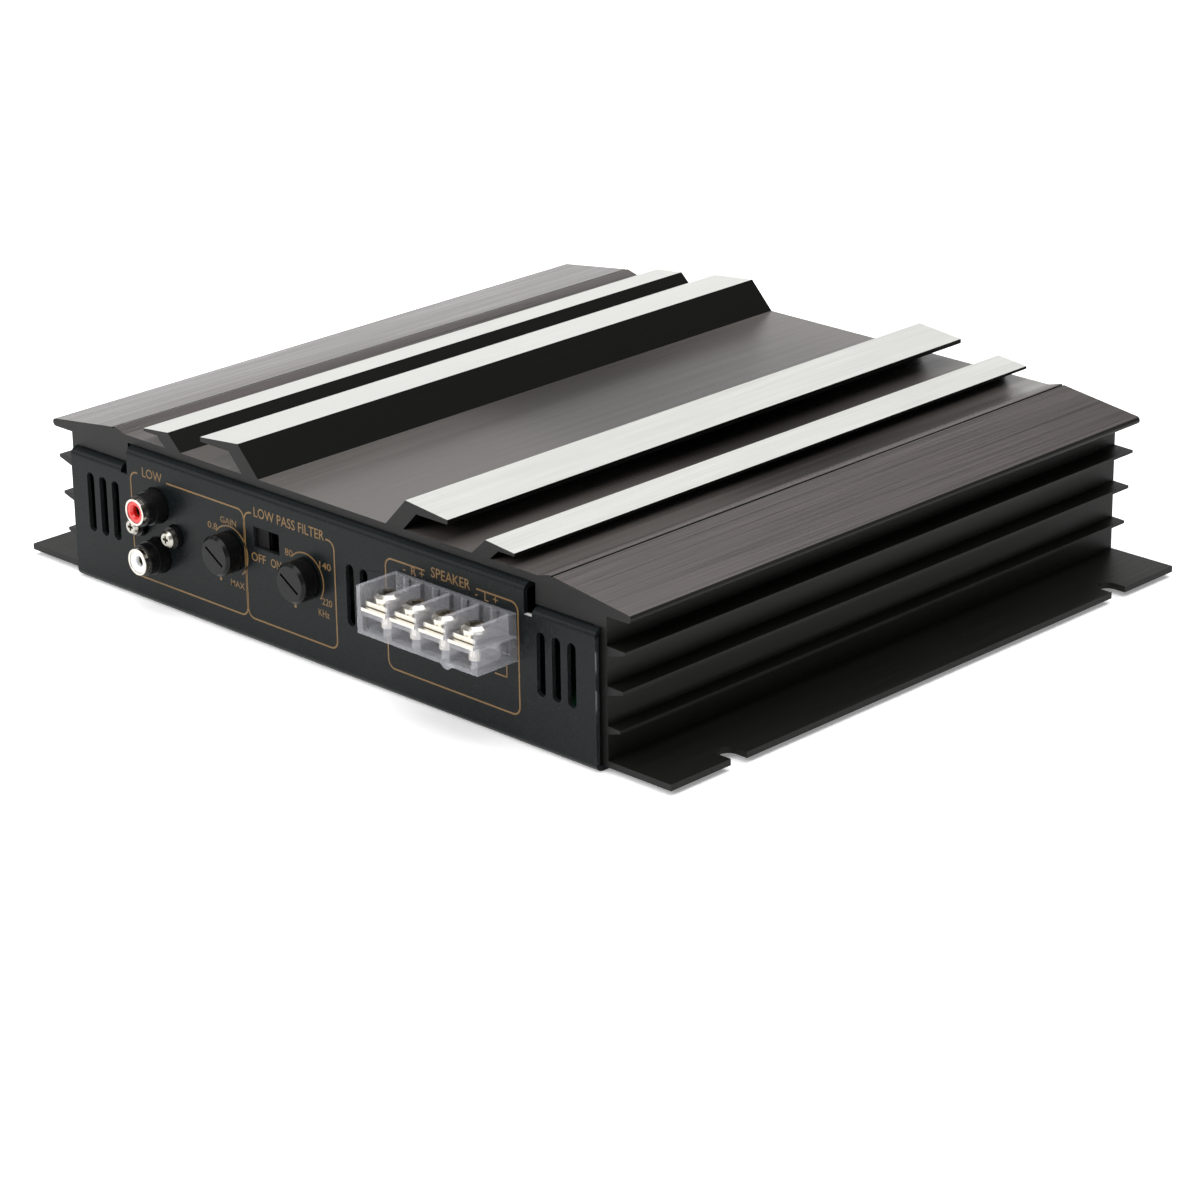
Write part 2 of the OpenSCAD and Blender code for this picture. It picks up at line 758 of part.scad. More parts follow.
module block_base(poles, pitch) {
  foot_trim = 1.2;
  pocket_wall = 1.3;
  pocket_gap = 1.6;
  pocket_y = -4;
  lug_r = 2.5;
  lug_drop = 1.2;
  lug_t = 1.5;
  half_w = block_w(poles, pitch) / 2;
  foot_half_w = half_w - 3.2;
  foot_top = block_top - foot_trim;
  low = base_z + block_z;
  pocket_half_w = pitch / 2 - pocket_gap;
  pocket_top = block_top - pocket_wall;
  difference() {
    union() {
      span([-half_w, -block_reach, low], [half_w, 0, block_top]);
      span([-foot_half_w, -cover, low + foot_trim], [foot_half_w, block_foot_y, foot_top]);
      span([-foot_half_w, sheet_t + 1, board_top], [foot_half_w, block_foot_y, foot_top]);
      translate([(poles / 2 - 1) * pitch, 0, low + lug_r - lug_drop])
        bar_y(lug_r, -block_reach, -block_reach + lug_t);
    }
    for (index = [0 : poles - 1])
      translate([pole_x(index, poles, pitch), 0, 0]) {
        span([-pocket_half_w, -block_reach - 1, low + pocket_wall], [pocket_half_w, pocket_y, pocket_top]);
        translate([0, terminal_screw_y, pocket_top - 1]) cylinder(h = 4, r = screw_r + 0.4);
        contact(pitch);
      }
  }
}
module block_guard(poles, pitch) {
  half_w = block_w(poles, pitch) / 2;
  rib_half_w = 1.2;
  rib_t = 0.9;
  rib_h = 4;
  top = block_top + block_wall_h;
  span([-half_w, -divider_t, block_top], [half_w, 0, top]);
  for (index = [0 : poles])
    translate([(index - poles / 2) * pitch, 0, 0])
      span([-divider_t / 2, -block_reach, block_top], [divider_t / 2, -divider_t + cover, top]);
  for (index = [0 : poles - 1])
    translate([pole_x(index, poles, pitch), 0, 0])
      span([-rib_half_w, -divider_t - rib_t, top - rib_h], [rib_half_w, -divider_t + cover, top]);
}
module contacts(poles, pitch) {
  for (index = [0 : poles - 1])
    translate([pole_x(index, poles, pitch), 0, 0])
      difference() {
        contact(pitch);
        translate([0, terminal_screw_y, block_top - 1]) cylinder(h = 3, r = screw_r + 0.07);
      }
}
module terminal_screw(index, poles, pitch) {
  shank_low = base_z + block_z + 1.8;
  bearing_z = clamp_z + clamp_t;
  translate([pole_x(index, poles, pitch), terminal_screw_y, bearing_z])
    pan_screw(bearing_z - shank_low, screw_r, head_r, terminal_head_h);
}
// The square plate under a screw's head, with its front and rear edges turned down
module terminal_clamp(index, poles, pitch) {
  half = (speaker_pitch - divider_t) / 2 - 0.7;
  lip_t = 0.8;
  lip_drop = 0.4;
  translate([pole_x(index, poles, pitch), terminal_screw_y, clamp_z])
    difference() {
      union() {
        span([-half, -half, 0], [half, half, clamp_t]);
        for (side = [-1, 1])
          translate([0, side * (half - lip_t / 2), 0])
            span([-half, -lip_t / 2, -lip_drop], [half, lip_t / 2, clamp_t]);
      }
      translate([0, 0, -1]) cylinder(h = clamp_t + 2, r = screw_r + 0.05);
    }
}
module at_speaker() {
  translate([speaker_x, face_y, 0]) children();
}
module at_power() {
  at_rear() translate([-power_x, face_y, 0]) children();
}
clear_plastic = [0.8, 0.82, 0.86, 0.45];
nickel = [0.8, 0.78, 0.7];
module speaker_terminal_base() {
  color(clear_plastic) at_speaker() block_base(speaker_poles, speaker_pitch);
}
module speaker_terminal_guard() {
  color(clear_plastic) at_speaker() block_guard(speaker_poles, speaker_pitch);
}
module speaker_contacts() {
  color(nickel) at_speaker() contacts(speaker_poles, speaker_pitch);
}
module speaker_screw(index) {
  color(nickel) at_speaker() terminal_screw(index, speaker_poles, speaker_pitch);
}
module speaker_clamp(index) {
  color(nickel) at_speaker() terminal_clamp(index, speaker_poles, speaker_pitch);
}
module power_terminal_base() {
  color(clear_plastic) at_power() block_base(power_poles, power_pitch);
}
module power_terminal_guard() {
  color(clear_plastic) at_power() block_guard(power_poles, power_pitch);
}
module power_contacts() {
  color(nickel) at_power() contacts(power_poles, power_pitch);
}
module power_screw(index) {
  color(nickel) at_power() terminal_screw(index, power_poles, power_pitch);
}
module power_clamp(index) {
  color(nickel) at_power() terminal_clamp(index, power_poles, power_pitch);
}

// Blade fuses that pull straight out of a holder behind the rear panel
rear_face_y = -face_y;
fuse_reach = 8;
module at_fuse(side) {
  translate([fuse_x + side * fuse_pitch / 2, rear_face_y, base_z + fuse_z]) children();
}
fuse_half_w = 9.4;
fuse_half_t = 2.5;
fuse_stem_half_w = 7.4;
fuse_stem_half_t = 2;
fuse_stem_l = 3.4;
blade_x = 4.7;
blade_l = 11;
fuse_gap = 0.4;
module fuse_body(side) {
  at_fuse(side) {
    span([-fuse_half_w, fuse_gap, -fuse_half_t], [fuse_half_w, fuse_reach, fuse_half_t]);
    span([-fuse_stem_half_w, -fuse_stem_l, -fuse_stem_half_t],
         [fuse_stem_half_w, fuse_gap + cover, fuse_stem_half_t]);
  }
}
module fuse_blades(side) {
  half_w = 2.6;
  half_t = 0.35;
  at_fuse(side)
    for (end = [-1, 1])
      translate([end * blade_x, 0, 0]) span([-half_w, -blade_l, -half_t], [half_w, -fuse_stem_l, half_t]);
}
module fuse_1_body() {
  color([0.1, 0.35, 0.8]) fuse_body(-1);
}
module fuse_2_body() {
  color([0.1, 0.35, 0.8]) fuse_body(1);
}
module fuse_1_blades() {
  color("silver") fuse_blades(-1);
}
module fuse_2_blades() {
  color("silver") fuse_blades(1);
}
module fuse_holder() {
  half_w = fuse_pitch / 2 + 11.5;
  half_h = 5;
  depth = 14;
  foot_t = 6;
  blade_slot_half_w = 3;
  blade_slot_half_t = 0.75;
  back = rear_face_y - depth;
  front = rear_face_y - sheet_t;
  color([0.07, 0.07, 0.08])
    difference() {
      translate([fuse_x, 0, 0]) union() {
        span([-half_w, back, base_z + fuse_z - half_h], [half_w, front, base_z + fuse_z + half_h]);
        span([-half_w, back, board_top], [half_w, back + foot_t, base_z + fuse_z]);
      }
      for (side = [-1, 1]) at_fuse(side) {
        span([-fuse_stem_half_w - fuse_gap, -fuse_stem_l - fuse_gap, -fuse_stem_half_t - fuse_gap],
             [fuse_stem_half_w + fuse_gap, 1, fuse_stem_half_t + fuse_gap]);
        for (end = [-1, 1]) translate([end * blade_x, 0, 0])
          span([-blade_slot_half_w, -blade_l - 1, -blade_slot_half_t],
               [blade_slot_half_w, -fuse_stem_l, blade_slot_half_t]);
      }
    }
}

// A small round lamp in the rear panel, with two legs down to the board
module lamp(x) {
  bulb_r = 1.5;
  bulb_reach = 0.6;
  flange_r = 1.9;
  flange_gap = 0.2;
  body_l = 3.5;
  leg_x = 0.9;
  leg_half = 0.25;
  rim_y = rear_face_y - sheet_t;
  bend_y = rim_y - 8;
  translate([x, 0, base_z + fuse_z]) {
    bar_y(bulb_r, rim_y - body_l, rear_face_y + bulb_reach);
    translate([0, rear_face_y + bulb_reach, 0]) sphere(bulb_r);
    bar_y(flange_r, rim_y - body_l, rim_y - flange_gap);
    for (leg = [-1, 1]) translate([leg * leg_x, 0, 0]) {
      span([-leg_half, bend_y, -leg_half], [leg_half, rim_y - body_l + 0.1, leg_half]);
      span([-leg_half, bend_y, board_top - base_z - fuse_z], [leg_half, bend_y + 2 * leg_half, leg_half]);
    }
  }
}
module power_lamp() {
  color([0.1, 0.4, 0.95]) lamp(lamp_x + lamp_pitch / 2);
}
module fault_lamp() {
  color([0.9, 0.1, 0.05]) lamp(lamp_x - lamp_pitch / 2);
}

// Power devices stand on the board with their tabs against the side walls
function transistor_y(index) = (index - (transistors - 1) / 2) * transistor_pitch;
device_z = board_top + 4;
module transistor() {
  half_w = 5;
  body_h = 9.2;
  tab_h = 15.5;
  tab_t = 1.3;
  lead_x = -2.9;
  lead_pitch = 2.54;
  lead_half = 0.4;
  tab_hole_z = 12.8;
  tab_hole_r = 1.8;
  difference() {
    union() {
      span([-device_t, -half_w, 0], [0, half_w, body_h]);
      span([-tab_t, -half_w, 0], [0, half_w, tab_h]);
      for (pin = [-1 : 1])
        translate([lead_x, lead_pitch * pin, 0])
          span([-lead_half, -lead_half, board_top - device_z], [lead_half, lead_half, cover]);
    }
    translate([-tab_t - 1, 0, tab_hole_z]) rotate([0, 90, 0]) cylinder(h = tab_t + 2, r = tab_hole_r);
  }
}
module power_transistors() {
  color([0.12, 0.12, 0.13])
    both_sides() for (index = [0 : transistors - 1])
      translate([device_x, transistor_y(index), device_z]) transistor();
}
module insulator_pads() {
  half_w = 6;
  low = -1;
  high = 17;
  color([0.75, 0.75, 0.78])
    both_sides() for (index = [0 : transistors - 1])
      translate([device_x, transistor_y(index), device_z]) span([0, -half_w, low], [pad_t, half_w, high]);
}
module clamp_bars() {
  overhang = 7;
  half_h = 3.5;
  half_l = transistor_y(transistors - 1) + overhang;
  bar_x = device_x - device_t;
  color([0.6, 0.61, 0.62])
    both_sides()
      difference() {
        span([bar_x - bar_t, -half_l, clamp_screw_z - half_h], [bar_x, half_l, clamp_screw_z + half_h]);
        for (y = clamp_screw_ys)
          translate([bar_x - bar_t - 1, y, clamp_screw_z])
            rotate([0, 90, 0]) cylinder(h = bar_t + 2, r = thread_r + 0.1);
      }
}
module clamp_screws() {
  shank = 10;
  head_h = 2;
  bar_x = device_x - device_t - bar_t;
  color("silver")
    both_sides() for (y = clamp_screw_ys)
      translate([bar_x, y, clamp_screw_z])
        rotate([0, -90, 0]) pan_screw(shank, thread_r - thread_gap, pan_head_r, head_h);
}

// The supply transformer: a ring core inside a closed winding
toroid_at = [10, 48];
toroid_r = 13;
toroid_half_w = 4;
toroid_half_h = 6;
winding_t = 3;
core_gap = 0.05;
module at_toroid() {
  translate([toroid_at.x, toroid_at.y, board_top + toroid_half_h + winding_t]) children();
}
module toroid_core() {
  color([0.35, 0.38, 0.34])
    at_toroid() rotate_extrude()
      translate([toroid_r, 0])
        square([2 * (toroid_half_w - core_gap), 2 * (toroid_half_h - core_gap)], center = true);
}
module toroid_winding() {
  color([0.72, 0.4, 0.18])
    at_toroid() rotate_extrude()
      translate([toroid_r, 0])
        difference() {
          square([2 * (toroid_half_w + winding_t), 2 * (toroid_half_h + winding_t)], center = true);
          square([2 * toroid_half_w, 2 * toroid_half_h], center = true);
        }
}

// A standing capacitor can with a shallow crimp near its foot
module can(r, h) {
  crimp = 0.5;
  foot_h = 2;
  neck_top = 4;
  cylinder(h = foot_h, r = r);
  cylinder(h = neck_top, r = r - crimp);
  translate([0, 0, neck_top - crimp]) cylinder(h = h - neck_top + crimp, r = r);
}
module input_capacitors() {
  color([0.1, 0.12, 0.2])
    for (x = [44, 66]) translate([x, 60, board_top]) can(9, 30);
}
module rail_capacitors() {
  color([0.1, 0.12, 0.2])
    for (x = [-30, -52]) translate([x, 52, board_top]) can(8, 25);
}
module small_capacitors() {
  color([0.08, 0.1, 0.16])
    for (column = [0 : 4], row = [0 : 1])
      translate([-60 + 22 * column, -62 + 26 * row, board_top]) can(3.2, 11);
}
// Dual in-line chips on the board
module chip(pins) {
  lead_pitch = 2.54;
  lead_x = 3.6;
  lead_half = 0.5;
  lead_h = 2;
  half_w = 3.2;
  low = 0.4;
  high = 3.8;
  half_l = pins / 4 * lead_pitch + 0.4;
  span([-half_w, -half_l, low], [half_w, half_l, high]);
  for (index = [0 : pins / 2 - 1], side = [-1, 1])
    translate([side * lead_x, (index - (pins / 2 - 1) / 2) * lead_pitch, 0])
      span([-lead_half, -lead_half, 0], [lead_half, lead_half, lead_h]);
}
module control_chips() {
  color([0.05, 0.05, 0.05]) {
    translate([40, 10, board_top]) chip(16);
    for (x = [-70, -46, -4]) translate([x, -48, board_top]) chip(8);
  }
}
module emitter_resistors() {
  resistor_x = 86;
  size = [6, 15, 8];
  color([0.86, 0.84, 0.78])
    both_sides() for (y = [-48, -24, 24, 48])
      translate([resistor_x, y, board_top + size.z / 2]) cube(size, center = true);
}

heatsink();
front_panel();
rear_panel();
bottom_plate();
bottom_screws();
circuit_board();
board_screws();
rca_housing();
rca_shells();
rca_insert_red();
rca_insert_white();
rca_contacts();
rca_screws();
gain_knob();
gain_shaft();
gain_pot();
crossover_knob();
crossover_shaft();
crossover_pot();
switch_body();
switch_slider();
speaker_terminal_base();
speaker_terminal_guard();
speaker_contacts();
speaker_screw(0);  // speaker_screw_1
speaker_screw(1);  // speaker_screw_2
speaker_screw(2);  // speaker_screw_3
speaker_screw(3);  // speaker_screw_4
speaker_clamp(0);  // speaker_clamp_1
speaker_clamp(1);  // speaker_clamp_2
speaker_clamp(2);  // speaker_clamp_3
speaker_clamp(3);  // speaker_clamp_4
power_terminal_base();
power_terminal_guard();
power_contacts();
power_screw(0);  // power_screw_1
power_screw(1);  // power_screw_2
power_screw(2);  // power_screw_3
power_clamp(0);  // power_clamp_1
power_clamp(1);  // power_clamp_2
power_clamp(2);  // power_clamp_3
fuse_holder();
fuse_1_body();
fuse_1_blades();
fuse_2_body();
fuse_2_blades();
power_lamp();
fault_lamp();
power_transistors();
insulator_pads();
clamp_bars();
clamp_screws();
toroid_core();
toroid_winding();
input_capacitors();
rail_capacitors();
small_capacitors();
control_chips();
emitter_resistors();
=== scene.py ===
import math

import bmesh
import bpy
from mathutils import Matrix, Vector


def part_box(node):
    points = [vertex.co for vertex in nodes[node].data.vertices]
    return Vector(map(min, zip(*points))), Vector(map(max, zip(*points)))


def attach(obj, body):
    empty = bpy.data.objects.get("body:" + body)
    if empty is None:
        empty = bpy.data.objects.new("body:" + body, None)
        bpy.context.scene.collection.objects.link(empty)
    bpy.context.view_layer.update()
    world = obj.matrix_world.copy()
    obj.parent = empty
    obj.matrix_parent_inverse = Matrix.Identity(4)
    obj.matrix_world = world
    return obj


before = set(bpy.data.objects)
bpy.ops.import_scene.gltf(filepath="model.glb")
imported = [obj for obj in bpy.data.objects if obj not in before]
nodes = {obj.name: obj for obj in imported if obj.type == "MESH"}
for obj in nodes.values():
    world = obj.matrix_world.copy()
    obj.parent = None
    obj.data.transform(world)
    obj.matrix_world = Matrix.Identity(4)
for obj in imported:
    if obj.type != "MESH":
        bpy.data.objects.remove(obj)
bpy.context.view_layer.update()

scene = bpy.context.scene

MM = 0.001

# Places on the end panels are millimetres across, and millimetres above the flanges' underside.
FLANGE_UNDERSIDE = 1.5
FRONT_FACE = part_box("front_panel")[0].y
REAR_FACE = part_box("rear_panel")[1].y
FRONT = -1
REAR = 1


# ---------------------------------------------------------------- materials

def new_material(name):
    """A material with its nodes cleared down to one Principled shader."""
    material = bpy.data.materials.new(name)
    material.use_nodes = True
    tree = material.node_tree
    tree.nodes.clear()
    output = tree.nodes.new("ShaderNodeOutputMaterial")
    shader = tree.nodes.new("ShaderNodeBsdfPrincipled")
    tree.links.new(shader.outputs["BSDF"], output.inputs["Surface"])
    return material, tree, shader


NOISE_ROUGHNESS = 0.55


def noise(tree, scale, detail):
    """Noise in object space, with its own scale along each axis, in cycles per metre."""
    place = tree.nodes.new("ShaderNodeTexCoord")
    mapping = tree.nodes.new("ShaderNodeMapping")
    texture = tree.nodes.new("ShaderNodeTexNoise")
    mapping.inputs["Scale"].default_value = scale
    texture.inputs["Scale"].default_value = 1.0
    texture.inputs["Detail"].default_value = detail
    texture.inputs["Roughness"].default_value = NOISE_ROUGHNESS
    tree.links.new(place.outputs["Object"], mapping.inputs["Vector"])
    tree.links.new(mapping.outputs["Vector"], texture.inputs["Vector"])
    return texture.outputs["Fac"]


# Nearly all of a noise output lies between these two values
NOISE_LOW = 0.3
NOISE_HIGH = 0.7


def spread(tree, value, low, high):
    """Maps the middle of a noise output to the range low to high."""
    mapped = tree.nodes.new("ShaderNodeMapRange")
    mapped.inputs["From Min"].default_value = NOISE_LOW
    mapped.inputs["From Max"].default_value = NOISE_HIGH
    mapped.inputs["To Min"].default_value = low
    mapped.inputs["To Max"].default_value = high
    tree.links.new(value, mapped.inputs["Value"])
    return mapped.outputs["Result"]


# Socket numbers of a Mix node that is set to colours
MIX_FACTOR = 0
MIX_FIRST = 6
MIX_SECOND = 7
MIX_RESULT = 2


def blend_colours(tree, factor, first, second):
    """Mixes two colours, each a plain colour or a socket, by the value of a socket."""
    mix = tree.nodes.new("ShaderNodeMix")
    mix.data_type = "RGBA"
    tree.links.new(factor, mix.inputs[MIX_FACTOR])
    for socket, colour in ((mix.inputs[MIX_FIRST], first), (mix.inputs[MIX_SECOND], second)):
        if isinstance(colour, (tuple, list)):
            socket.default_value = (*colour, 1.0)
        else:
            tree.links.new(colour, socket)
    return mix.outputs[MIX_RESULT]


def bump(tree, shader, height, strength, distance):
    """Lets a height socket tilt the shader's normal."""
    node = tree.nodes.new("ShaderNodeBump")
    node.inputs["Strength"].default_value = strength
    node.inputs["Distance"].default_value = distance
    tree.links.new(height, node.inputs["Height"])
    tree.links.new(node.outputs["Normal"], shader.inputs["Normal"])


def shade(colour, amount):
    """A colour made lighter or darker, with no channel past 1."""
    return tuple(min(1.0, channel * amount) for channel in colour)


# Half the length over which painted_reflection_along spreads its stops, in metres
TONE_REACH = 0.11
# A float curve holds values from 0 to 1, so its tones are stored divided by this
TONE_SCALE = 2.0


def painted_reflection_along(tree, colour, stops):
    """Multiplies a colour by a grey that varies along Y, as a painted reflection."""
    place = tree.nodes.new("ShaderNodeTexCoord")
    split = tree.nodes.new("ShaderNodeSeparateXYZ")
    ramp = tree.nodes.new("ShaderNodeFloatCurve")
    mapped = tree.nodes.new("ShaderNodeMapRange")
    mapped.inputs["From Min"].default_value = -TONE_REACH
    mapped.inputs["From Max"].default_value = TONE_REACH
    curve = ramp.mapping.curves[0]
    for (where, amount), point in zip((stops[0], stops[-1]), (curve.points[0], curve.points[-1])):
        point.location = (where, amount / TONE_SCALE)
    for where, amount in stops[1:-1]:
        curve.points.new(where, amount / TONE_SCALE)
    ramp.mapping.update()
    full = tree.nodes.new("ShaderNodeMath")
    full.operation = "MULTIPLY"
    full.inputs[1].default_value = TONE_SCALE
    product = tree.nodes.new("ShaderNodeVectorMath")
    product.operation = "SCALE"
    link = tree.links.new
    link(place.outputs["Object"], split.inputs["Vector"])
    link(split.outputs["Y"], mapped.inputs["Value"])
    link(mapped.outputs["Result"], ramp.inputs["Value"])
    link(ramp.outputs["Value"], full.inputs[0])
    link(colour, product.inputs[0])
    link(full.outputs["Value"], product.inputs["Scale"])
    return product.outputs["Vector"]


# How much of a surface the broad stains cover, and how dark they are against its contrast
STAIN_SHARE = 0.35
STAIN_DEPTH = 0.6
SMOOTHEST = 0.02
COAT_ROUGHNESS = 0.12


def surface(name, colour, rough, metallic=0.0, level=0.5, grain=900, contrast=0.12,
            rough_spread=0.06, relief=0.2, relief_size=0.00004, cloud=35.0, coat=0.0, see_through=0.0,
            ior=1.5, alpha=1.0, along=None):
    """One finished surface: two scales of colour variation, uneven gloss and fine relief.

    The grain and the cloud are in cycles per metre, with one grain for all axes or one for each.
    The relief's size is in metres. Stops along Y, where given, paint a reflection into the colour.
    """
    material, tree, shader = new_material(name)
    if not isinstance(grain, tuple):
        grain = (grain, grain, grain)
    fine = noise(tree, grain, 4.0)
    broad = noise(tree, (cloud, cloud, cloud), 3.0)
    mixed = blend_colours(tree, spread(tree, fine, 0.0, 1.0),
                          shade(colour, 1.0 - contrast), shade(colour, 1.0 + contrast))
    stained = blend_colours(tree, spread(tree, broad, 0.0, STAIN_SHARE),
                            mixed, shade(colour, 1.0 - STAIN_DEPTH * contrast))
    # Stops along Y paint a reflection into the colour
    if along:
        stained = painted_reflection_along(tree, stained, along)
    tree.links.new(stained, shader.inputs["Base Color"])
    shader.inputs["Alpha"].default_value = alpha
    glossy = max(SMOOTHEST, rough - rough_spread)
    dull = min(1.0, rough + rough_spread)
    tree.links.new(spread(tree, fine, glossy, dull), shader.inputs["Roughness"])
    shader.inputs["Metallic"].default_value = metallic
    shader.inputs["Specular IOR Level"].default_value = level
    shader.inputs["IOR"].default_value = ior
    if coat:
        shader.inputs["Coat Weight"].default_value = coat
        shader.inputs["Coat Roughness"].default_value = COAT_ROUGHNESS
    if see_through:
        shader.inputs["Transmission Weight"].default_value = see_through
    if relief:
        bump(tree, shader, fine, relief, relief_size)
    return material


# Streaks along Y, as an extrusion or a brush leaves them
ALONG_Y = (1500, 18, 1500)
MAT = {
    "anodised": surface("anodised_black", (0.0062, 0.0062, 0.0050), 0.46, level=0.14, grain=ALONG_Y,
                        contrast=0.3, relief=0.14, relief_size=0.00003),
    # The plate's colour is lighter at its front and back than in the middle, a painted reflection
    "plate": surface("anodised_plate", (0.036, 0.032, 0.030), 0.32, level=0.62, grain=(420, 9, 420),
                     contrast=0.12, relief=0.05, relief_size=0.00003, cloud=12.0,
                     along=((0.0, 2.0), (0.3, 1.7), (0.52, 0.7), (0.8, 1.2), (1.0, 2.0))),
    "shoulder": surface("anodised_brushed", (0.042, 0.033, 0.031), 0.36, metallic=0.12, level=0.5,
                        grain=(1700, 12, 1700), contrast=0.6, rough_spread=0.1, relief=0.35,
                        relief_size=0.00004),
    # A darker, duller copy of the anodised black for the fins' sloping webs, as painted shade
    "web": surface("anodised_web_painted_shade", (0.0035, 0.0036, 0.0028), 0.5, level=0.05, grain=ALONG_Y,
                   contrast=0.3, relief=0.1, relief_size=0.00003),
    "strip": surface("brushed_aluminium", (0.487, 0.490, 0.466), 0.47, metallic=0.4, grain=(2200, 22, 2200),
                     contrast=0.1, rough_spread=0.08, relief=0.16, relief_size=0.00003),
    "cut": surface("sawn_end", (0.010, 0.0098, 0.0095), 0.45, metallic=0.1, level=0.2, grain=(160, 160, 2600),
                   contrast=0.3, relief=0.2),
    "paint": surface("panel_paint", (0.0052, 0.0070, 0.0075), 0.31, level=0.11, grain=1800,
                     contrast=0.16, relief=0.14, relief_size=0.00004),
    # A lighter, glossier copy of the panel paint for the sheet's cut edges, as a painted highlight
    "paint_edge": surface("panel_edge_painted_highlight", (0.016, 0.018, 0.019), 0.16, level=0.8,
                          grain=1800, contrast=0.16, relief=0.1, relief_size=0.00004),
    # Bare metal on a notch's floor, as a bright matt grey that also paints a glint on it
    "bare_edge": surface("bare_sheet_edge_painted_glint", (0.72, 0.73, 0.72), 0.4, metallic=0.3, grain=2400),
    "floor_plate": surface("plate_paint", (0.024, 0.026, 0.029), 0.5, level=0.3, grain=1500,
                           contrast=0.2, relief=0.25, relief_size=0.00006),
    "black_zinc": surface("black_zinc", (0.03, 0.03, 0.032), 0.34, metallic=0.6, grain=2500),
    "zinc": surface("bright_zinc", (0.60, 0.60, 0.58), 0.28, metallic=1.0, grain=1800),
    "nickel": surface("nickel_plate", (0.60, 0.575, 0.52), 0.17, metallic=1.0, grain=1400,
                      contrast=0.08, rough_spread=0.05, relief=0.08),
    "gold": surface("gold_contact", (0.42, 0.31, 0.13), 0.3, metallic=1.0, grain=1500),
    "screw": surface("socket_screw", (0.44, 0.425, 0.38), 0.3, metallic=1.0, grain=1400),
    "slider": surface("slider_plastic", (0.0035, 0.0035, 0.0038), 0.4, level=0.1, grain=2600,
                      contrast=0.15, relief=0.12),
    "black": surface("black_plastic", (0.005, 0.005, 0.0055), 0.3, level=0.25, grain=2600,
                     contrast=0.15, relief=0.12),
    "knob": surface("knob_plastic", (0.0042, 0.0043, 0.0046), 0.24, level=0.17, grain=2400,
                    contrast=0.06, rough_spread=0.01, relief=0.0),
    "red": surface("red_plastic", (0.62, 0.012, 0.010), 0.24, level=0.5, grain=1600,
                   contrast=0.08, relief=0.04, coat=0.3),
    "white": surface("white_plastic", (0.86, 0.87, 0.88), 0.28, level=0.5, grain=1600,
                     contrast=0.03, relief=0.04, coat=0.2),
    "clear": surface("clear_plastic", (0.66, 0.66, 0.71), 0.09, level=0.7, grain=260,
                     contrast=0.08, rough_spread=0.04, relief=0.05, see_through=0.3, ior=1.49, alpha=0.3),
    "board": surface("board_laminate", (0.010, 0.075, 0.032), 0.38, level=0.5, grain=700,
                     contrast=0.2, relief=0.1),
    "pot": surface("pot_case", (0.42, 0.42, 0.41), 0.36, metallic=0.9, grain=1600),
    "fuse": surface("fuse_plastic", (0.04, 0.19, 0.80), 0.14, level=0.5, grain=600,
                    contrast=0.03, rough_spread=0.02, relief=0.0, see_through=0.45, ior=1.49),
    "fuse_metal": surface("fuse_metal", (0.62, 0.62, 0.63), 0.34, metallic=1.0, grain=(1600, 300, 1600)),
    "blue_lamp": surface("blue_lamp", (0.06, 0.26, 0.9), 0.12, see_through=0.6, grain=700),
    "red_lamp": surface("red_lamp", (0.85, 0.03, 0.02), 0.12, see_through=0.6, grain=700),
    "epoxy": surface("package_epoxy", (0.018, 0.018, 0.019), 0.5, level=0.4, grain=2200),
    "pad": surface("silicone_pad", (0.5, 0.51, 0.53), 0.7, level=0.3, grain=900),
    "mill": surface("mill_aluminium", (0.66, 0.66, 0.67), 0.38, metallic=1.0, grain=(1800, 30, 1800)),
    "core": surface("iron_powder", (0.22, 0.25, 0.17), 0.8, level=0.2, grain=1500, contrast=0.3),
    "copper": surface("enamelled_copper", (0.62, 0.24, 0.08), 0.26, metallic=0.85, grain=(1200, 1200, 200),
                      contrast=0.3, relief=0.5, relief_size=0.0002),
    "sleeve": surface("capacitor_sleeve", (0.02, 0.028, 0.06), 0.25, level=0.5, grain=(700, 700, 300)),
    "ceramic": surface("ceramic_body", (0.74, 0.72, 0.66), 0.75, level=0.3, grain=1300),
    "print": surface("printed_ink", (0.172, 0.100, 0.037), 0.5, level=0.3, grain=2400,
                     contrast=0.22, relief=0.1),
}

NODE_LOOKS = {
    "anodised": ["heatsink"],
    "paint": ["front_panel", "rear_panel"],
    "floor_plate": ["bottom_plate"],
    "black_zinc": ["bottom_screws"],
    "zinc": ["board_screws", "clamp_screws", "gain_shaft", "crossover_shaft"],
    "screw": ["rca_screws"],
    "nickel": ["rca_shells", "speaker_contacts", "power_contacts"],
    "gold": ["rca_contacts"],
    "black": ["rca_housing", "fuse_holder"],
    "slider": ["switch_slider", "switch_body"],
    "knob": ["gain_knob", "crossover_knob"],
    "red": ["rca_insert_red"],
    "white": ["rca_insert_white"],
    "clear": ["speaker_terminal_base", "speaker_terminal_guard", "power_terminal_base",
              "power_terminal_guard"],
    "board": ["circuit_board"],
    "pot": ["gain_pot", "crossover_pot"],
    "fuse": ["fuse_1_body", "fuse_2_body"],
    "fuse_metal": ["fuse_1_blades", "fuse_2_blades"],
    "blue_lamp": ["power_lamp"],
    "red_lamp": ["fault_lamp"],
    "epoxy": ["power_transistors", "control_chips"],
    "pad": ["insulator_pads"],
    "mill": ["clamp_bars"],
    "core": ["toroid_core"],
    "copper": ["toroid_winding"],
    "sleeve": ["input_capacitors", "rail_capacitors", "small_capacitors"],
    "ceramic": ["emitter_resistors"],
}
for block, poles in (("speaker", 4), ("power", 3)):
    for number in range(1, poles + 1):
        NODE_LOOKS["nickel"] += [f"{block}_screw_{number}", f"{block}_clamp_{number}"]


